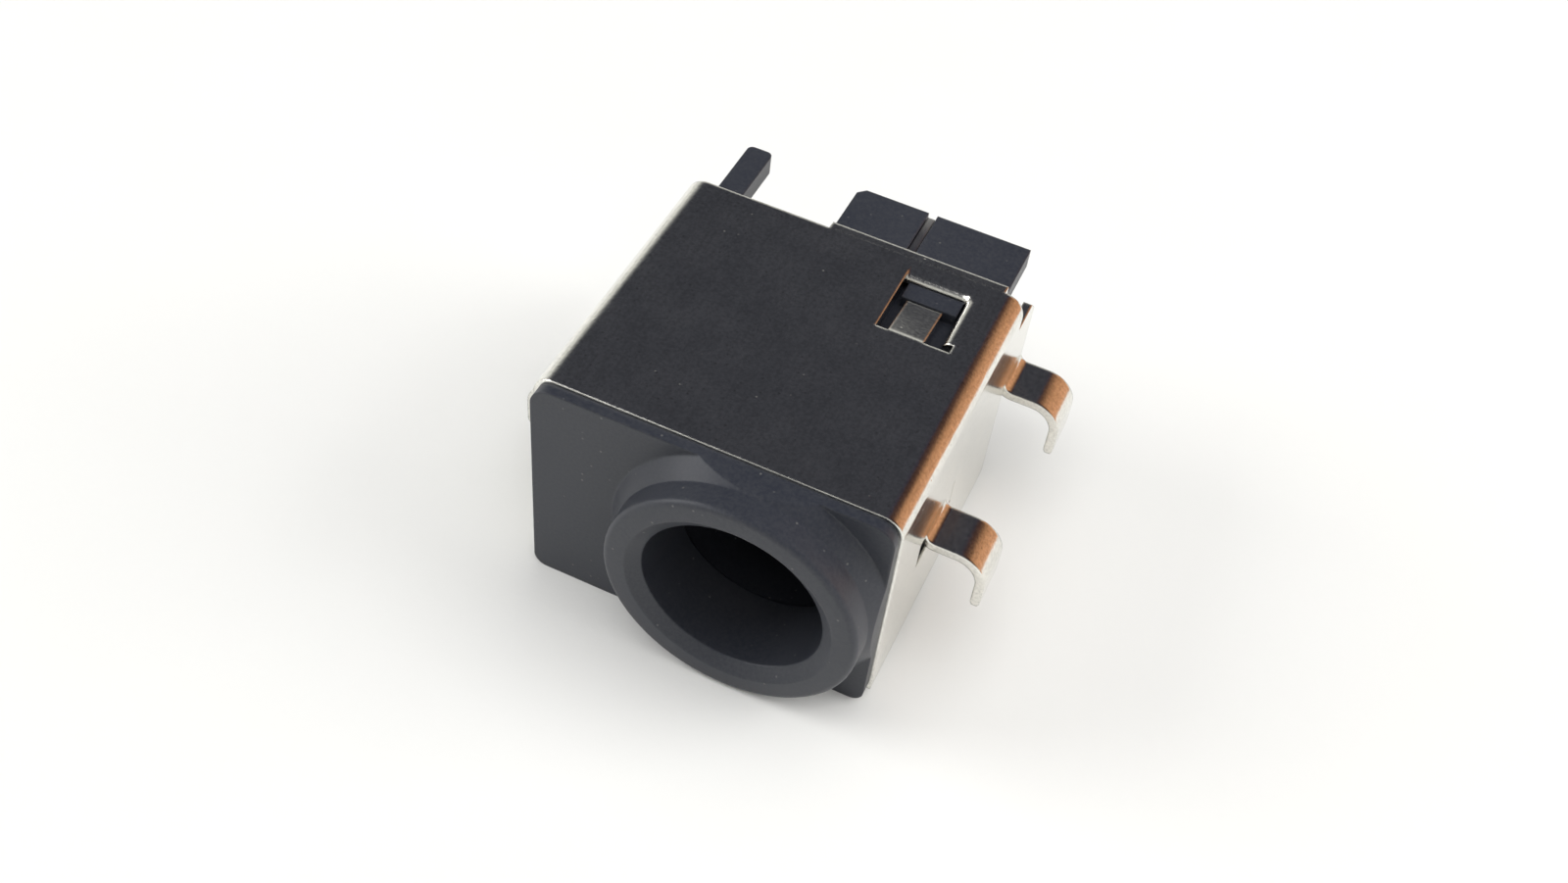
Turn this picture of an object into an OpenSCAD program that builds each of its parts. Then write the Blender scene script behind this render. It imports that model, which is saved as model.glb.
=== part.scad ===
// Board-mount DC barrel jack: moulded housing with an off-centre nozzle,
// folded sheet shield on four gull legs, centre pin and three terminals.
// Origin: plug axis where it crosses the flange's front face.
// The plug leaves toward -Y, +Z is up, the board lies under the leg shelves.

/* [Plug] */
// Outside diameter of the plug barrel that the bore takes
plug_d = 5.5; // [4.5:0.1:6.5]
// Clearance on diameter between plug barrel and bore
plug_clear = 0.2; // [0.1:0.05:0.4]
// Diameter of the centre pin
pin_d = 2.5; // [1.6:0.1:2.8]
// Depth of the bore from the nozzle's rim to its rear wall
bore_depth = 10.05; // [9:0.05:12]
// Length of the guiding mouth of the bore, lead-in included
guide_len = 2.75; // [2:0.05:3.5]
// How far the pin's tip stays behind the nozzle's rim
pin_recess = 3.15; // [2.9:0.05:4.2]

/* [Nozzle] */
// Wall of the nozzle round the bore
nozzle_wall = 1.15; // [0.9:0.05:1.5]
// Length of the nozzle in front of the flange
nozzle_len = 1.45; // [1.1:0.05:3]
// Width of the lead-in at the bore's mouth
leadin_w = 0.42; // [0.2:0.02:0.6]
// Depth of the lead-in
leadin_depth = 0.3; // [0.15:0.05:0.6]
// Rounding of the nozzle's rim
rim_round = 0.2; // [0.05:0.05:0.4]
// How much wider than the nozzle its conical root is
collar_step = 0.43; // [0.2:0.01:0.6]
// Length of the conical root
collar_len = 0.58; // [0.3:0.02:0.8]

/* [Flange and body] */
// Width of the front flange
flange_w = 11.2; // [10.6:0.1:13]
// Thickness of the front flange
flange_t = 0.38; // [0.3:0.02:0.8]
// Rim of flange above and below the nozzle
nozzle_margin = 0.05; // [0.05:0.05:0.5]
// Rim of flange beside the nozzle
side_margin = 0.1; // [0.05:0.05:0.6]
// Corner radius at the flange's top
corner_top = 0.7; // [0.3:0.05:0.9]
// Corner radius at the flange's bottom
corner_bottom = 0.45; // [0.2:0.05:0.8]
// Radial relief of the contact chamber behind the guide
chamber_relief = 0.3; // [0.15:0.05:0.4]
// Thickness of the body's rear wall
rear_wall = 1.4; // [1:0.1:2]

/* [Rear fingers] */
// Reach of the wide rear fingers behind the body
finger_len = 2.75; // [1.8:0.05:3]
// Thickness of the rear fingers
finger_t = 0.7; // [0.5:0.05:0.8]
// Bevel at the inner wide finger's free corner
finger_bevel = 0.25; // [0.1:0.05:0.5]
// Reach of the narrow finger behind the body
post_len = 2.85; // [1.8:0.05:3.2]
// Width of the narrow finger
post_w = 0.85; // [0.6:0.05:1.2]
// Distance of the narrow finger from the body's side
post_side = 0.55; // [0.3:0.05:0.9]
// Corner radius at the narrow finger's end
post_round = 0.2; // [0.05:0.05:0.3]
// Width of the inner wide finger
inner_finger_w = 2.4; // [1.8:0.05:2.8]
// Width of the outer wide finger
outer_finger_w = 3.15; // [2.6:0.05:3.3]
// Clearance of the pin's terminal in the slit between the wide fingers
slit_clear = 0.05; // [0.02:0.01:0.1]
// Depth of the gussets that carry the wide fingers
gusset = 0.9; // [0.6:0.05:1.2]
// Thickness of the gussets
gusset_t = 0.6; // [0.4:0.05:0.8]

/* [Shield] */
// Thickness of the shield's sheet
sheet_t = 0.3; // [0.2:0.05:0.35]
// How far the shield stands proud of the flange
shield_proud = 0.1; // [0:0.05:0.25]
// Outer radius of the shield's long bends
bend_r = 0.7; // [0.5:0.05:0.8]
// Gap between the shield's side walls and the body
side_gap = 0.04; // [0:0.02:0.1]
// Height of the side walls' lower edge above the underside
skirt_gap = 0.25; // [0:0.05:0.6]
// Cover of the shield's top behind the body
top_cover = 0.2; // [0.05:0.05:0.4]
// Drip edge behind the wide fingers
rear_lip = 0.32; // [0.2:0.02:0.5]
// How far the drip edge dips
lip_dip = 0.02; // [0.01:0.01:0.1]
// Height that the rear wings keep below the shield's top bend
wing_drop = 0.55; // [0.1:0.05:0.8]
// Bevel at the wings' rear corner
wing_bevel = 0.45; // [0.2:0.05:0.8]

/* [Legs] */
// Width of a leg
leg_w = 1.6; // [1.2:0.05:1.8]
// Reach of a leg from the side wall
leg_reach = 2.05; // [1.7:0.05:2.6]
// Height of the board's top above the underside
board_z = 3.8; // [3:0.05:4.2]
// Length of a leg's tail below the board's top
tail_len = 1.7; // [1.2:0.05:2.6]
// Top radius where a leg leaves the wall
root_r = 0.3; // [0.2:0.05:0.5]
// Outer radius where a leg turns down
knee_r = 1.05; // [0.6:0.05:1.15]
// Taper at the tip of each tail
tip_taper = 0.06; // [0.02:0.01:0.08]
// Distance of the front legs behind the flange's face
front_leg_y = 3.4; // [2:0.05:5]
// Distance of the rear legs behind the body
rear_leg_gap = 0.3; // [0.25:0.05:0.6]
// Relief window in front of a front leg's root
relief_front = 0.5; // [0.2:0.05:1]
// Depth of the relief window below the board's top
relief_drop = 0.4; // [0.2:0.05:1.4]
// Distance of the relief slit behind a front leg
relief_back = 0.65; // [0.3:0.05:1]
// Width of the relief slit
relief_slit = 0.12; // [0.06:0.02:0.2]

/* [Latch] */
// Width of the latch window in the shield's top
latch_w = 2.35; // [2.1:0.05:2.6]
// Length of the latch window
latch_l = 2.85; // [2.6:0.05:3.4]
// Distance of the latch window from the shield's side
latch_side = 1.3; // [1.1:0.05:2]
// Distance of the latch window from the shield's rear edge
latch_rear = 0.38; // [0.3:0.02:0.8]
// Inner radius of the window's turned-down rim
rim_inner = 0.06; // [0.02:0.01:0.1]
// Corner radius that the window keeps inside its rim
rim_corner = 0.15; // [0.05:0.05:0.3]
// Width of the latch tongue
tongue_w = 1.15; // [0.9:0.05:1.3]
// Length of the latch tongue
tongue_l = 1.72; // [1.4:0.02:1.9]
// Drop of the step at the tongue's root
tongue_step = 0.08; // [0.04:0.01:0.12]
// How far the tongue's free end is pressed down
latch_press = 0.27; // [0.2:0.01:0.3]
// How far the latch boss stands above the body
boss_rise = 0.05; // [0:0.01:0.1]

/* [Terminals] */
// Thickness of the terminal strip
strip_t = 0.25; // [0.2:0.05:0.35]
// Width of a terminal's tail
tail_w = 1; // [0.7:0.05:1.2]
// Distance of the leaves' tails behind the body
tail_back = 1; // [0.6:0.05:1.4]
// Height of the contact leaves
leaf_h = 2.4; // [1.8:0.1:2.6]
// How far the sleeve contact bulges into the bore
leaf_press = 0.25; // [0.1:0.05:0.4]
// Distance of the sleeve contact's root outside the chamber
leaf_root = 0.5; // [0.35:0.05:0.7]
// Distance from the sleeve contact to the switch contact
leaf_spacing = 0.95; // [0.8:0.05:1.1]
// Clearance round the leaves in their pocket
leaf_clear = 0.3; // [0.2:0.05:0.4]
// Width of the rivet's head round its spigot
rivet_rim = 0.4; // [0.2:0.05:0.5]
// Thickness of the rivet's head
rivet_t = 0.3; // [0.2:0.05:0.4]
// Width of the neck that the pin's terminal is folded from
neck_w = 1.2; // [0.9:0.05:1.5]

/* [Hidden] */
$fn = 96;
e = 0.01;                                   // overlap of fused forms
over = 1;                                   // reach of a cut beyond its surface

bore_r = (plug_d + plug_clear) / 2;
nozzle_r = bore_r + nozzle_wall;
flange_h = 2 * (nozzle_r + nozzle_margin);
axis_z = flange_h / 2;
axis_x = flange_w / 2 - side_margin - nozzle_r;
chamber_r = bore_r + chamber_relief;
bore_end = bore_depth - nozzle_len;         // y of the chamber's rear wall
body_d = bore_end + rear_wall;              // y of the body's rear face

shield_w = flange_w + 2 * shield_proud;
shield_z = flange_h + shield_proud;         // top of the shield
body_top = shield_z - sheet_t;
body_w = shield_w - 2 * (sheet_t + side_gap);
top_d = body_d + top_cover;                 // rear edge of the shield's top

wall_x = shield_w / 2;                      // outer face of the side walls
shelf_z = board_z + sheet_t;                // top of the leg shelves
root_z = shelf_z + root_r;                  // where a leg leaves its wall
relief_z = board_z - relief_drop;           // lower end of the reliefs
rear_leg_y = body_d + rear_leg_gap;
wing_end = rear_leg_y + leg_w;              // rear edge of the shield's wings
wing_top = shield_z - bend_r - wing_drop;

finger_z = body_top - finger_t;             // underside of the rear fingers
finger_end = body_d + finger_len;
slit_w = strip_t + slit_clear;              // slit between the wide fingers
outer_x = wall_x - bend_r;                  // outer side of the wide fingers
slit_x = outer_x - outer_finger_w - slit_w;
inner_x = slit_x - inner_finger_w;
slit_y = body_d + slit_w;                   // front end of the slit
post_x = -body_w / 2 + post_side + post_w / 2;

rim_r = sheet_t + rim_inner;                // outer radius of the window's rim
corner_r = rim_r + rim_corner;
latch_x1 = wall_x - latch_side;             // window: right, left, rear, front
latch_x0 = latch_x1 - latch_w;
latch_y1 = top_d - latch_rear;
latch_y0 = latch_y1 - latch_l;
tongue_x = (latch_x0 + latch_x1 - rim_r) / 2 - slit_clear;
tongue_end = latch_y0 + tongue_l;
pocket_z = body_top - latch_press - boss_rise - slit_clear; // floor under the tongue

spigot_r = 0.32 * pin_d;                    // rivet end of the pin
rivet_r = spigot_r + rivet_rim;
leaf_x = axis_x - chamber_r - leaf_root - strip_t; // left face of the sleeve contact
switch_x = leaf_x - leaf_spacing;           // left face of the switch contact
pocket_y = guide_len - nozzle_len + leaf_clear;
leaf_y = pocket_y + leaf_clear;             // free end of the leaves
leaf_run = bore_end - leaf_y;
tail_y = body_d + tail_back;                // front edge of the leaves' tails
blade_x = slit_x + slit_clear / 2;          // left face of the pin terminal's blade
blade_end = finger_end - leaf_clear / 2;    // rear edge of that blade
tip_z = board_z - tail_len;

// Places a piece drawn from the flange's bottom centre into the part's frame.
module placed() { translate([-axis_x, 0, -axis_z]) children(); }

// Box from corner to corner.
module box(a, b) { translate(a) cube(b - a); }

// Extrudes an x-z outline along +Y, from y0 to y1.
module along_y(y0, y1) {
    translate([0, y1, 0]) rotate([90, 0, 0]) linear_extrude(y1 - y0) children();
}

// Extrudes a y-z outline along +X, from x0 to x1.
module along_x(x0, x1) {
    translate([x0, 0, 0]) rotate([90, 0, 90]) linear_extrude(x1 - x0) children();
}

// Turns a profile (radius, distance in front of the flange) about the plug axis.
module about_axis() {
    translate([axis_x, 0, axis_z]) rotate([90, 0, 0]) rotate_extrude() children();
}

// Rod on the plug axis from y0 to y1.
module on_axis(r, y0, y1) {
    translate([axis_x, y0, axis_z]) rotate([-90, 0, 0]) cylinder(r = r, h = y1 - y0);
}

// Rectangle standing on z0 with round corners, rt at its top and rb at its bottom.
module round_rect(w, z0, z1, rt, rb) {
    difference() {
        translate([-w / 2, z0]) square([w, z1 - z0]);
        for (s = [-1, 1]) {
            if (rt > 0) translate([s * (w / 2 - rt), z1 - rt]) corner_cut(s, 1, rt);
            if (rb > 0) translate([s * (w / 2 - rb), z0 + rb]) corner_cut(s, -1, rb);
        }
    }
}

// What lies outside a round corner of radius r, toward (sx, sz).
module corner_cut(sx, sz, r) {
    difference() {
        translate([sx > 0 ? 0 : -r - e, sz > 0 ? 0 : -r - e]) square(r + e);
        circle(r);
    }
}

// Quarter ring of the sheet, outer radius r, toward (sx, sz) from its centre.
module quarter_ring(sx, sz, r, t) {
    intersection() {
        difference() { circle(r); circle(r - t); }
        translate([sx > 0 ? 0 : -r, sz > 0 ? 0 : -r]) square(r);
    }
}

// Nozzle with its conical root, cut flush with the flange's sides.
module nozzle() {
    n = 6;
    intersection() {
        about_axis() polygon(concat(
            [[0, -flange_t], [nozzle_r + collar_step, -flange_t],
             [nozzle_r + collar_step, 0], [nozzle_r, collar_len]],
            [for (i = [0 : n]) let (a = 90 * i / n)
                [nozzle_r - rim_round + rim_round * cos(a),
                 nozzle_len - rim_round + rim_round * sin(a)]],
            [[0, nozzle_len]]));
        box([-flange_w / 2, -nozzle_len - over, 0], [flange_w / 2, flange_t, flange_h]);
    }
}

// Bore: lead-in, guiding mouth and the wider chamber for the contacts.
module plug_bore() {
    on_axis(bore_r, -nozzle_len - over, guide_len - nozzle_len);
    on_axis(chamber_r, guide_len - nozzle_len, bore_end);
    translate([axis_x, -nozzle_len - e, axis_z]) rotate([-90, 0, 0])
        cylinder(r1 = bore_r + leadin_w * (1 + e / leadin_depth), r2 = bore_r,
                 h = leadin_depth + e);
}

// Fingers behind the body: two wide ones with a slit between, and a narrow one.
module fingers() {
    y0 = body_d - over / 2;
    translate([0, 0, finger_z]) linear_extrude(finger_t) difference() {
        polygon([[inner_x, y0], [inner_x, finger_end - finger_bevel],
                 [inner_x + finger_bevel, finger_end], [outer_x, finger_end], [outer_x, y0]]);
        translate([slit_x, slit_y]) square([slit_w, finger_len]);
    }
    for (x = [inner_x + gusset_t, outer_x - 2 * gusset_t])
        along_x(x, x + gusset_t)
            polygon([[y0, finger_z - gusset], [body_d, finger_z - gusset],
                     [body_d + gusset, finger_z + e], [y0, finger_z + e]]);
    translate([post_x, 0, finger_z]) linear_extrude(finger_t)
        round_rect(post_w, y0, body_d + post_len, post_round, 0);
}

// Boss that stops the latch tongue, inside the window's rim.
module latch_boss() {
    gap = rim_corner / 3;
    box([latch_x0 + rim_corner, tongue_end + slit_clear, pocket_z - e],
        [latch_x1 - rim_r - gap, latch_y1 - rim_r - gap, body_top + boss_rise]);
}

// Pocket round the boss, with room for the tongue and the window's rim.
module latch_pocket() {
    difference() {
        box([latch_x0 - slit_clear, latch_y0 - rim_corner, pocket_z],
            [latch_x1 + slit_clear, latch_y1 + slit_clear, body_top + over]);
        latch_boss();
    }
}

module housing() {
    color([0.07, 0.07, 0.075]) placed() difference() {
        union() {
            along_y(0, flange_t)
                round_rect(flange_w, 0, flange_h, corner_top, corner_bottom);
            nozzle();
            // body inside the shield, with bend room along its top edges
            along_y(flange_t - e, body_d)
                round_rect(body_w, 0, body_top, bend_r - sheet_t, corner_bottom);
            latch_boss();
            fingers();
        }
        plug_bore();
        latch_pocket();
        // pocket beside the chamber for the two contact leaves
        box([switch_x - leaf_clear / 2, pocket_y, axis_z - (leaf_h + leaf_clear) / 2],
            [axis_x, bore_end, axis_z + (leaf_h + leaf_clear) / 2]);
        // slots that hold the leaves in the rear wall
        for (x = [leaf_x, switch_x])
            box([x, bore_end - e, axis_z - leaf_h / 2],
                [x + strip_t, body_d + over, axis_z + leaf_h / 2]);
        // hole for the pin's rivet end
        on_axis(spigot_r, bore_end - over, body_d + over);
    }
}

// One gull leg on the right wall: root bend, shelf, knee and tail.
module leg(y0) {
    knee_x = wall_x + leg_reach - knee_r;
    tail_x = wall_x + leg_reach;
    along_y(y0, y0 + leg_w) {
        translate([wall_x + root_r, root_z]) quarter_ring(-1, -1, root_r + sheet_t, sheet_t);
        translate([wall_x + root_r - e, board_z])
            square([knee_x - wall_x - root_r + 2 * e, sheet_t]);
        translate([knee_x, shelf_z - knee_r]) quarter_ring(1, 1, knee_r, sheet_t);
        polygon([[tail_x - sheet_t, shelf_z - knee_r + e], [tail_x, shelf_z - knee_r + e],
                 [tail_x, tip_z + 2 * tip_taper], [tail_x - tip_taper, tip_z],
                 [tail_x - sheet_t + tip_taper, tip_z],
                 [tail_x - sheet_t, tip_z + 2 * tip_taper]]);
    }
}

// Relief window under a front leg's root and the slit behind it, in the right wall.
module leg_relief() {
    slit_y0 = front_leg_y + leg_w + relief_back;
    box([wall_x - 2 * sheet_t, front_leg_y - relief_front, relief_z],
        [wall_x + over, front_leg_y + leg_w + e, root_z]);
    box([wall_x - 2 * sheet_t, slit_y0, relief_z],
        [wall_x + over, slit_y0 + relief_slit, root_z]);
}

// Wing of the right wall that carries the rear leg.
module wing() {
    y0 = top_d - over;
    along_x(wall_x - sheet_t, wall_x)
        polygon([[y0, root_z], [wing_end, root_z], [wing_end, wing_top - wing_bevel],
                 [wing_end - wing_bevel, wing_top], [y0, wing_top]]);
}

// Plan of the latch window, with one round corner.
module latch_window() {
    difference() {
        translate([latch_x0, latch_y0]) square([latch_w, latch_l]);
        translate([latch_x1 - corner_r, latch_y1 - corner_r]) corner_cut(1, 1, corner_r);
    }
}

// Rim of the latch window, turned down along its rear and right sides.
module latch_rim() {
    z = shield_z - rim_r;
    along_x(latch_x0, latch_x1 - corner_r) translate([latch_y1, z])
        quarter_ring(-1, 1, rim_r, sheet_t);
    translate([latch_x1 - corner_r, latch_y1 - corner_r, z]) rotate_extrude(angle = 90)
        translate([corner_r, 0]) quarter_ring(-1, 1, rim_r, sheet_t);
    along_y(latch_y0 + rim_r, latch_y1 - corner_r) translate([latch_x1, z])
        quarter_ring(-1, 1, rim_r, sheet_t);
}

// Latch tongue: a short step at its root, then a gentle slope to its free end.
module latch_tongue() {
    z = shield_z;
    t = sheet_t;
    step_y = latch_y0 + 2.5 * tongue_step;
    root_y = latch_y0 - rim_corner / 2;
    along_x(tongue_x - tongue_w / 2, tongue_x + tongue_w / 2)
        polygon([[root_y, z], [latch_y0 - e, z], [step_y, z - tongue_step],
                 [tongue_end, z - latch_press], [tongue_end, z - latch_press - t],
                 [step_y, z - tongue_step - t], [root_y, z - t]]);
}

module shield() {
    w = shield_w;
    color([0.62, 0.6, 0.56]) placed() {
        difference() {
            union() {
                along_y(flange_t, top_d) difference() {
                    round_rect(w, skirt_gap, shield_z, bend_r, 0);
                    round_rect(w - 2 * sheet_t, skirt_gap - over, shield_z - sheet_t,
                               bend_r - sheet_t, 0);
                }
                wing();
                mirror([1, 0, 0]) wing();
            }
            translate([0, 0, shield_z - over]) linear_extrude(2 * over) latch_window();
            leg_relief();
            mirror([1, 0, 0]) leg_relief();
        }
        latch_rim();
        latch_tongue();
        // rear edge over the wide fingers, dipping slightly
        along_x(inner_x, outer_x)
            polygon([[top_d - e, shield_z], [top_d + rear_lip, shield_z - lip_dip],
                     [top_d + rear_lip, body_top], [top_d - e, body_top]]);
        for (y = [front_leg_y, rear_leg_y]) {
            leg(y);
            mirror([1, 0, 0]) leg(y);
        }
    }
}

// Turned centre pin with a domed tip and a rivet end.
module centre_pin() {
    r = pin_d / 2;
    y0 = pin_recess - nozzle_len;
    dome = 0.35 * r;
    head_y = body_d + strip_t - y0;
    n = 6;
    color([0.78, 0.66, 0.4]) placed() translate([axis_x, y0, axis_z]) rotate([-90, 0, 0])
        rotate_extrude() polygon(concat(
            [[0, 0]],
            [for (i = [0 : n]) let (a = 90 * i / n)
                [r - dome + dome * sin(a), dome - dome * cos(a)]],
            [[r, bore_end - y0], [spigot_r, bore_end - y0], [spigot_r, head_y],
             [rivet_r, head_y], [rivet_r, head_y + rivet_t / 2],
             [rivet_r - rivet_t / 2, head_y + rivet_t], [0, head_y + rivet_t]]));
}

// Strip riveted to the pin: round lug on the rear wall, neck, and a blade folded
// rearward that stands in the slit between the fingers and ends in a tail.
module centre_terminal() {
    t = strip_t;
    lug_r = rivet_r + t / 2;
    fold_r = 1.5 * t;                           // outer radius of the fold
    fold_x = blade_x + t - fold_r;
    z0 = axis_z + rivet_r + t;                  // lower end of the fold
    z1 = finger_z - slit_clear;                 // upper end of the fold
    rise_y = top_d + rear_lip + leaf_clear / 2; // behind the shield's edge
    tail_end = blade_end - tip_taper;
    color([0.72, 0.7, 0.66]) placed() {
        difference() {
            union() {
                on_axis(lug_r, body_d, body_d + t);
                box([fold_x + fold_r - neck_w, body_d, axis_z], [fold_x + e, body_d + t, z1]);
            }
            on_axis(spigot_r, body_d - over, body_d + over);
        }
        translate([fold_x, body_d + fold_r, z0]) rotate([0, 0, -90])
            rotate_extrude(angle = 90) translate([fold_r - t, 0]) square([t, z1 - z0]);
        along_x(blade_x, blade_x + t)
            polygon([[body_d + fold_r - e, z0], [body_d + fold_r - e, z1], [rise_y, z1],
                     [rise_y, body_top - slit_clear], [blade_end, body_top - slit_clear],
                     [blade_end, tip_z + 2 * tip_taper], [tail_end, tip_z],
                     [blade_end - tail_w + tip_taper, tip_z],
                     [blade_end - tail_w, tip_z + 2 * tip_taper], [blade_end - tail_w, z0]]);
    }
}

// Blade behind the rear wall with a tail down through the board, left face at x.
module blade_tail(x) {
    z0 = axis_z - leaf_h / 2;
    z1 = axis_z + leaf_h / 2;
    y1 = tail_y + tail_w;
    along_x(x, x + strip_t)
        polygon([[bore_end, z0], [bore_end, z1], [y1, z1], [y1, tip_z + 2 * tip_taper],
                 [y1 - tip_taper, tip_z], [tail_y + tip_taper, tip_z],
                 [tail_y, tip_z + 2 * tip_taper], [tail_y, z0]]);
}

// Plan outline of a contact leaf, as high as the leaves are.
module leaf(outline) {
    translate([0, 0, axis_z - leaf_h / 2]) linear_extrude(leaf_h) polygon(outline);
}

// Leaf that bulges into the bore and presses on the plug's barrel.
module sleeve_contact() {
    t = strip_t;
    x = leaf_x;
    px = axis_x - bore_r + leaf_press;
    crest_y = leaf_y + 0.4 * leaf_run;
    crest = 0.05 * leaf_run;                    // half the flat on the crest
    root_y = bore_end - 0.12 * leaf_run;
    end_y = leaf_y + t;
    color([0.8, 0.68, 0.42]) placed() {
        leaf([[x, bore_end + e], [x, root_y], [px - t, crest_y + crest],
              [px - t, crest_y - crest], [x, end_y], [x, leaf_y], [x + t, leaf_y],
              [x + t, end_y - t / 2], [px, crest_y - crest - t / 2],
              [px, crest_y + crest + t / 2], [x + t, root_y + t / 2], [x + t, bore_end + e]]);
        blade_tail(x);
    }
}

// Stiff leaf that touches the sleeve contact's free end while no plug is in.
module switch_contact() {
    t = strip_t;
    x = switch_x;
    touch_y = leaf_y + leaf_spacing / 2;
    jog_y = leaf_y + 1.5 * leaf_spacing;
    color([0.8, 0.68, 0.42]) placed() {
        leaf([[x, bore_end + e], [x, jog_y], [leaf_x - t, touch_y], [leaf_x - t, leaf_y],
              [leaf_x, leaf_y], [leaf_x, touch_y + t / 2], [x + t, jog_y + t / 2],
              [x + t, bore_end + e]]);
        blade_tail(x);
    }
}

housing();
shield();
centre_pin();
centre_terminal();
sleeve_contact();
switch_contact();
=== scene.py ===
"""Looks of the DC barrel jack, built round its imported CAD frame, in metres."""
import math

import bpy
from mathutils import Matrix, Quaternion, Vector


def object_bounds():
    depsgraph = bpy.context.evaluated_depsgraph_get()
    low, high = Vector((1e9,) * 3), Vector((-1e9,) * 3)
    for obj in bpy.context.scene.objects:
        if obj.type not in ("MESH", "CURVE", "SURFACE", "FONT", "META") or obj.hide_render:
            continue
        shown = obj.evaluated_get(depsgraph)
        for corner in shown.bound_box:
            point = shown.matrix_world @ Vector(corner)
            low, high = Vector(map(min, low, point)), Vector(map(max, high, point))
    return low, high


MM = 0.001

# The view: a close look down on the jack from the front, a little to its right.
CAMERA_AT = Vector((10.24, -28.5, 40.14)) * MM
LOOK_AT = Vector((0.065, 1.50, 4.15)) * MM
CAMERA_ROLL = math.radians(7.68)
LENS = 39.93  # mm, on a 36 mm sensor

# Rounding in the shading alone, one radius for each material. The mesh stays sharp there.
SHEET_ROUND = 0.12 * MM
MOULD_ROUND = 0.1 * MM
STRIP_ROUND = 0.05 * MM
SHADED_ROUND_SAMPLES = 8

# Rounding modelled on the mesh of the pin and of the contact strips.
# On the centre terminal it comes out at about 0.01 mm.
PIN_ROUND = 0.05 * MM
LEAF_ROUND = 0.03 * MM
ROUND_SEGMENTS = 2

WELD_REACH = 0.0005 * MM  # points closer than this are one point
FLAT = math.radians(0.2)  # faces that meet at less than this are one flat
SHARP = math.radians(25)  # faces that meet at more than this have an edge between them
LARGE_FACES_LEAD = 100  # the strongest pull of the shading toward a piece's large faces

# Random value of a cell where its speck starts to show, and where it shows in full.
SPECK_STARTS = 0.8
SPECK_FULL = 0.84

# Colour sockets of Blender's mix node, which shares their names with number sockets.
MIX_FIRST = 6
MIX_SECOND = 7
MIX_RESULT = 2

# Overhead colours of the room by the X of the direction: the first holds for its whole left half.
ROOM_SIDES = (
    (0.0, (0.045, 0.047, 0.058)),
    (0.12, (0.044, 0.041, 0.060)),
    (0.5, (0.045, 0.026, 0.024)),
)
HORIZON = (0.86, 0.86, 0.82)
HORIZON_TOP = 0.05  # sine of the elevation where the horizon starts to fade
OVERHEAD_FROM = 0.52  # sine of the elevation where the overhead colours are reached

# Glow of the brown card, from the floor up.
CARD_GLOW = (
    (0.0, (0.74, 0.37, 0.2)),
    (0.42, (0.52, 0.26, 0.13)),
    (0.7, (0.09, 0.045, 0.032)),
    (1.0, (0.045, 0.026, 0.024)),
)

FLOOR_RADIUS = 1.5
FLOOR_SIDES = 64


# ---- nodes ----

class Nodes:
    """Short calls that build one node tree."""

    def __init__(self, tree):
        self.tree = tree

    def feed(self, socket, value):
        """Links socket to another one, or sets it to a number, a vector or an RGB triple."""
        if isinstance(value, bpy.types.NodeSocket):
            self.tree.links.new(value, socket)
        elif socket.type == "RGBA":
            socket.default_value = (*value, 1)
        else:
            socket.default_value = value

    def node(self, kind, inputs=None, **settings):
        """New node, with inputs fed by name or number."""
        made = self.tree.nodes.new(kind)
        for name, value in settings.items():
            setattr(made, name, value)
        for key, value in (inputs or {}).items():
            self.feed(made.inputs[key], value)
        return made

    def generated(self, axis):
        """Generated coordinate on one axis: 0 to 1 across a piece, or of the direction in a world."""
        place = self.node("ShaderNodeTexCoord").outputs["Generated"]
        return self.node("ShaderNodeSeparateXYZ", {"Vector": place}).outputs[axis]

    def mix(self, factor, first, second):
        """Colour between first and second, each a socket or an RGB triple."""
        inputs = {"Factor": factor, MIX_FIRST: first, MIX_SECOND: second}
        return self.node("ShaderNodeMix", inputs, data_type="RGBA").outputs[MIX_RESULT]

    def ramp(self, value, stops):
        """Colour ramp through (position, colour) stops."""
        node = self.node("ShaderNodeValToRGB", {"Fac": value})
        elements = node.color_ramp.elements
        while len(elements) < len(stops):
            elements.new(0.5)
        for element, (position, colour) in zip(elements, stops):
            element.position = position
            element.color = (*colour, 1)
        return node.outputs["Color"]


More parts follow.
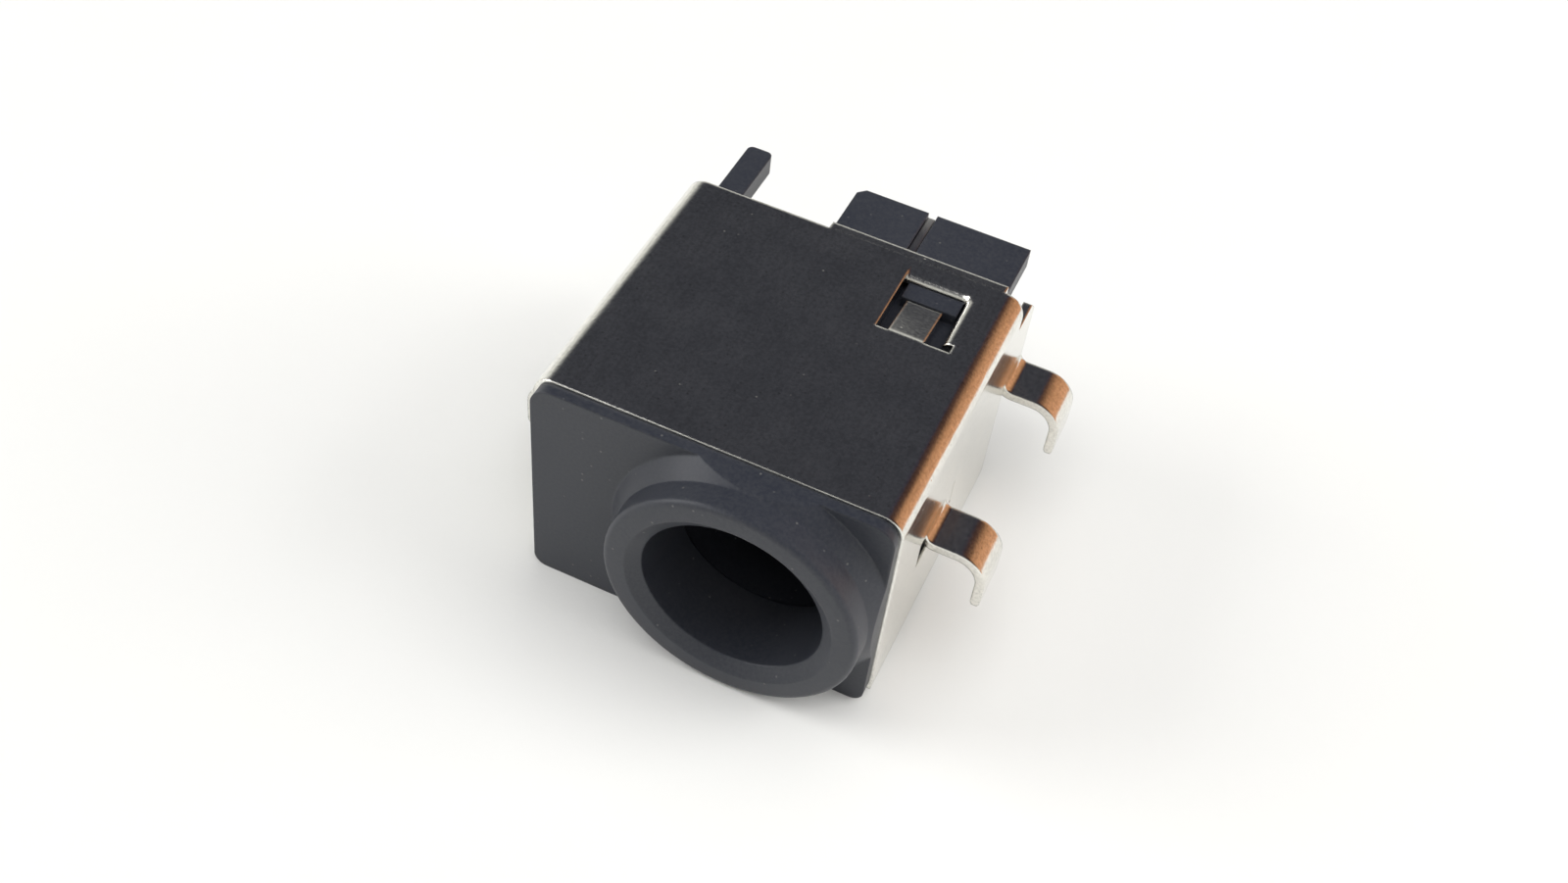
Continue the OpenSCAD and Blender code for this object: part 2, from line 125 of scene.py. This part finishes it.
class Shader(Nodes):
    """One procedural material, with the patterns that the jack needs."""

    def __init__(self, name, surface):
        self.material = bpy.data.materials.new(name)
        self.material.use_nodes = True
        super().__init__(self.material.node_tree)
        self.bsdf = self.tree.nodes["Principled BSDF"]
        for socket, value in surface.items():
            self.feed(self.bsdf.inputs[socket], value)
        self.place = self.node("ShaderNodeTexCoord").outputs["Object"]
        self.normal = None

    def soften(self, radius):
        """Shades edges as if they were rounded by radius, before any relief is added."""
        edge = self.node("ShaderNodeBevel", {"Radius": radius}, samples=SHADED_ROUND_SAMPLES)
        self.normal = edge.outputs["Normal"]

    def noise(self, size, detail=3.0, rough=0.5, stretch=(1, 1, 1), turn=0.0):
        """Soft noise, 0 to 1, with features about size metres wide, scaled along each axis."""
        inputs = {"Vector": self.place, "Scale": stretch, "Rotation": (0, 0, turn)}
        place = self.node("ShaderNodeMapping", inputs).outputs["Vector"]
        inputs = {"Vector": place, "Scale": 1 / size, "Detail": detail, "Roughness": rough}
        return self.node("ShaderNodeTexNoise", inputs).outputs["Fac"]

    def specks(self, size, full, gone):
        """Small round marks in some cells of about size metres: 1 within full, 0 past gone."""
        inputs = {"Vector": self.place, "Scale": 1 / size}
        cells = self.node("ShaderNodeTexVoronoi", inputs, feature="F1")
        spot = self.band(cells.outputs["Distance"], gone, full)
        pick = self.node("ShaderNodeSeparateColor", {"Color": cells.outputs["Color"]})
        return self.math("MULTIPLY", spot, self.band(pick.outputs["Red"], SPECK_STARTS, SPECK_FULL))

    def scratches(self, size, width, turn):
        """Hair scratches: thin lines where stretched noise crosses its middle value."""
        noise = self.noise(size, detail=1, stretch=(1, 0.06, 1), turn=turn)
        return self.band(self.math("ABSOLUTE", self.math("SUBTRACT", noise, 0.5)), width, 0.0)

    def band(self, value, start, end, low=0.0, high=1.0):
        """Maps start to low and end to high, and holds both beyond."""
        inputs = {"Value": value, "From Min": start, "From Max": end, "To Min": low, "To Max": high}
        return self.node("ShaderNodeMapRange", inputs, clamp=True).outputs["Result"]

    def math(self, operation, *values):
        """Result of one operation on sockets and numbers."""
        return self.node("ShaderNodeMath", dict(enumerate(values)), operation=operation).outputs["Value"]

    def bump(self, height, depth, strength):
        """Adds relief of depth metres, on top of what was added before."""
        inputs = {"Height": height, "Distance": depth, "Strength": strength}
        if self.normal:
            inputs["Normal"] = self.normal
        self.normal = self.node("ShaderNodeBump", inputs).outputs["Normal"]

    def finish(self, colour, roughness):
        """The material, with its colour, roughness and all relief in place."""
        self.feed(self.bsdf.inputs["Base Color"], colour)
        self.feed(self.bsdf.inputs["Roughness"], roughness)
        self.feed(self.bsdf.inputs["Normal"], self.normal)
        return self.material


# ---- materials ----

def nickel_sheet():
    """Bright nickel plate: fine rolled grain, pits, stray bright flecks and hair scratches."""
    dull = (0.78, 0.77, 0.72)
    clear = (0.90, 0.885, 0.83)
    rolled = (0.62, 0.61, 0.57)
    raised = (1.0, 0.98, 0.92)
    sunk = (0.55, 0.54, 0.5)
    pitted = (0.22, 0.20, 0.17)
    s = Shader("nickel_sheet", {"Metallic": 1.0})
    s.soften(SHEET_ROUND)
    cloud = s.noise(1.3 * MM, detail=5, rough=0.6)
    grain = s.noise(0.1 * MM, detail=2, rough=0.6)
    streak = s.noise(0.12 * MM, detail=2, stretch=(1, 0.15, 1))
    pits = s.specks(0.16 * MM, full=0.05, gone=0.3)
    flecks = s.specks(0.42 * MM, full=0.02, gone=0.12)
    hairs = s.scratches(1.6 * MM, width=0.004, turn=0.5)
    colour = s.mix(s.band(cloud, 0.3, 0.7), dull, clear)
    colour = s.mix(s.band(streak, 0.45, 0.7, high=0.35), colour, rolled)
    colour = s.mix(s.band(grain, 0.5, 0.72, high=0.55), colour, raised)
    colour = s.mix(s.band(grain, 0.5, 0.3, high=0.4), colour, sunk)
    colour = s.mix(s.math("MULTIPLY", pits, 0.45), colour, pitted)
    s.bump(grain, depth=0.005 * MM, strength=0.6)
    s.bump(streak, depth=0.003 * MM, strength=0.25)
    s.bump(flecks, depth=0.012 * MM, strength=0.8)
    s.bump(hairs, depth=0.002 * MM, strength=0.5)
    wear = s.math("ADD", cloud, s.math("MULTIPLY", grain, 0.4))
    return s.finish(colour, s.band(wear, 0.4, 1.0, low=0.13, high=0.22))


def moulded_plastic():
    """Bluish black moulding: fine matt grain, faint flow marks and a little dust."""
    dark = (0.021, 0.024, 0.034)
    pale = (0.034, 0.037, 0.048)
    grained = (0.052, 0.055, 0.062)
    dusty = (0.35, 0.34, 0.31)
    s = Shader("moulded_plastic", {"IOR": 1.46})
    s.soften(MOULD_ROUND)
    grain = s.noise(0.1 * MM, detail=2, rough=0.6)
    flow = s.noise(2.5 * MM, detail=2, stretch=(1, 0.5, 1))
    dust = s.specks(0.3 * MM, full=0.03, gone=0.16)
    hairs = s.scratches(2.1 * MM, width=0.003, turn=1.1)
    colour = s.mix(flow, dark, pale)
    colour = s.mix(s.band(grain, 0.35, 0.7, high=0.5), colour, grained)
    colour = s.mix(s.math("MULTIPLY", dust, 0.35), colour, dusty)
    s.bump(grain, depth=0.004 * MM, strength=0.5)
    s.bump(hairs, depth=0.003 * MM, strength=0.4)
    return s.finish(colour, s.band(s.math("ADD", grain, flow), 0.6, 1.4, low=0.34, high=0.5))


def plated_turning():
    """Turned pin under plate: fine rings round the plug axis."""
    dull = (0.63, 0.58, 0.5)
    clear = (0.72, 0.68, 0.6)
    s = Shader("plated_turning", {"Metallic": 1.0})
    rings = s.noise(0.06 * MM, detail=2, stretch=(0.05, 1, 0.05))
    tint = s.noise(1.2 * MM)
    s.bump(rings, depth=0.003 * MM, strength=0.5)
    return s.finish(s.mix(tint, dull, clear), s.band(rings, 0.3, 0.7, low=0.18, high=0.3))


def tinned_strip():
    """Tin plate on bronze strip: soft mottling, warmer toward worn spots."""
    dull = (0.62, 0.61, 0.6)
    clear = (0.74, 0.73, 0.71)
    bronze = (0.72, 0.55, 0.36)
    s = Shader("tinned_strip", {"Metallic": 1.0})
    s.soften(STRIP_ROUND)
    mottle = s.noise(0.5 * MM, detail=4)
    grain = s.noise(0.08 * MM, detail=2, stretch=(1, 0.2, 1))
    worn = s.band(s.noise(1.5 * MM), 0.62, 0.75)
    colour = s.mix(mottle, dull, clear)
    colour = s.mix(s.math("MULTIPLY", worn, 0.5), colour, bronze)
    s.bump(grain, depth=0.003 * MM, strength=0.4)
    return s.finish(colour, s.band(mottle, 0.3, 0.7, low=0.26, high=0.42))


def floor_paper():
    """Plain pale floor with a barely visible tooth."""
    shaded = (0.885, 0.885, 0.855)
    clean = (0.92, 0.92, 0.895)
    s = Shader("floor_paper", {"Specular IOR Level": 0.2})
    tooth = s.noise(0.5 * MM, detail=4, rough=0.6)
    cloud = s.noise(14 * MM, detail=2)
    s.bump(tooth, depth=0.03 * MM, strength=0.35)
    return s.finish(s.mix(cloud, shaded, clean), s.band(tooth, 0.2, 0.8, low=0.75, high=0.9))


def card_glow():
    """Light of the brown card, strongest near the floor."""
    material = bpy.data.materials.new("warm_card")
    material.use_nodes = True
    shade = Nodes(material.node_tree)
    shade.tree.nodes.remove(shade.tree.nodes["Principled BSDF"])
    colour = shade.ramp(shade.generated("Y"), CARD_GLOW)
    glow = shade.node("ShaderNodeEmission", {"Color": colour})
    shade.feed(shade.tree.nodes["Material Output"].inputs["Surface"], glow.outputs["Emission"])
    return material


# ---- pieces ----

def dress(node, material, rounding=0.0):
    """Gives a CAD node its finish: flat faces flat, bends smooth and, where asked, edges rounded."""
    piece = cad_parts[node]
    piece.data.materials.clear()
    piece.data.materials.append(material)
    weld = piece.modifiers.new("weld", "WELD")
    weld.merge_threshold = WELD_REACH
    if rounding:
        flat = piece.modifiers.new("join_flats", "DECIMATE")
        flat.decimate_type = "DISSOLVE"
        flat.angle_limit = FLAT
        bevel = piece.modifiers.new("edge_round", "BEVEL")
        bevel.width = rounding
        bevel.segments = ROUND_SEGMENTS
        bevel.limit_method = "ANGLE"
        bevel.angle_limit = SHARP
    else:
        crease = piece.modifiers.new("sharp_edges", "EDGE_SPLIT")
        crease.split_angle = SHARP
    piece.data.shade_smooth()
    keep = piece.modifiers.new("flat_faces", "WEIGHTED_NORMAL")
    keep.keep_sharp = True
    keep.weight = LARGE_FACES_LEAD


# ---- stage ----

def floor(level):
    """Pale floor under the jack's lowest point."""
    bpy.ops.mesh.primitive_circle_add(
        vertices=FLOOR_SIDES, radius=FLOOR_RADIUS, fill_type="NGON", location=(0, 0, level))
    ground = bpy.context.object
    ground.name = "floor"
    ground.data.materials.append(floor_paper())


def soft_light(name, toward, distance, width, power, diffuse=True, gloss=True):
    """Square soft box, power in watts, that faces the frame's origin from the direction toward."""
    lamp = bpy.data.lights.new(name, "AREA")
    lamp.size = width
    lamp.energy = power
    light = bpy.data.objects.new(name, lamp)
    light.location = Vector(toward).normalized() * distance
    light.rotation_euler = (-light.location).to_track_quat("-Z", "Y").to_euler()
    light.visible_camera = False
    light.visible_diffuse = diffuse
    light.visible_glossy = gloss
    bpy.context.scene.collection.objects.link(light)


def room_light():
    """Pale room: bright round the horizon, dim overhead, bluish left and brownish right."""
    world = bpy.data.worlds.new("room")
    world.use_nodes = True
    room = Nodes(world.node_tree)
    overhead = room.ramp(room.generated("X"), ROOM_SIDES)
    heights = {"Value": room.generated("Z"), "From Min": HORIZON_TOP, "From Max": OVERHEAD_FROM}
    fade = room.node("ShaderNodeMapRange", heights, interpolation_type="SMOOTHSTEP")
    sky = room.mix(fade.outputs["Result"], HORIZON, overhead)
    room.feed(room.tree.nodes["Background"].inputs["Color"], sky)
    bpy.context.scene.world = world


def warm_card(toward, distance, width, height, level):
    """Brown card that stands on the floor beside the jack and shows only in reflections."""
    bpy.ops.mesh.primitive_plane_add(size=1)
    card = bpy.context.object
    card.name = "warm_card"
    way = Vector((*toward, 0)).normalized()
    card.scale = (width, height, 1)
    card.location = way * distance + Vector((0, 0, level + height / 2))
    card.rotation_euler = (-way).to_track_quat("Z", "Y").to_euler()
    card.visible_camera = False
    card.visible_diffuse = False
    card.visible_shadow = False
    card.data.materials.append(card_glow())


def camera():
    """Camera that looks at the jack as the photograph does."""
    lens = bpy.data.cameras.new("photo_view")
    lens.lens = LENS
    lens.clip_start = 1 * MM
    view = bpy.data.objects.new("photo_view", lens)
    view.location = CAMERA_AT
    view.rotation_mode = "QUATERNION"
    gaze = (LOOK_AT - CAMERA_AT).to_track_quat("-Z", "Y")
    view.rotation_quaternion = gaze @ Quaternion((0, 0, 1), CAMERA_ROLL)
    bpy.context.scene.collection.objects.link(view)
    bpy.context.scene.camera = view


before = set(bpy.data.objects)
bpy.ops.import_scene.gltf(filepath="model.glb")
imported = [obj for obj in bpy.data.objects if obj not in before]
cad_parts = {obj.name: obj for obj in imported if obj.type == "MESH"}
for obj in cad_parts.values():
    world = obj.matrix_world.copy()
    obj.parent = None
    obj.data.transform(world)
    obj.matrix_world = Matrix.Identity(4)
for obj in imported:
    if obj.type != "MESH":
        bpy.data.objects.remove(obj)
cad_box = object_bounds()

camera()
room_light()
soft_light("ceiling", toward=(0.15, -0.05, 1), distance=0.5, width=0.7, power=2.6, gloss=False)
soft_light("front_box", toward=(-0.5, -0.74, 0.6), distance=0.3, width=0.1, power=0.1, diffuse=False)
soft_light("left_box", toward=(-1, -0.25, 0.6), distance=0.3, width=0.15, power=0.36)
soft_light("right_box", toward=(1, 0.35, 0.6), distance=0.3, width=0.2, power=0.45, gloss=False)
warm_card((0.75, 0.66), distance=42 * MM, width=60 * MM, height=56 * MM, level=cad_box[0].z)
floor(cad_box[0].z)

strip = tinned_strip()
dress("housing", moulded_plastic())
dress("shield", nickel_sheet())
dress("centre_pin", plated_turning(), PIN_ROUND)
for contact in ("centre_terminal", "sleeve_contact", "switch_contact"):
    dress(contact, strip, LEAF_ROUND)

bpy.context.scene.view_settings.view_transform = "Standard"
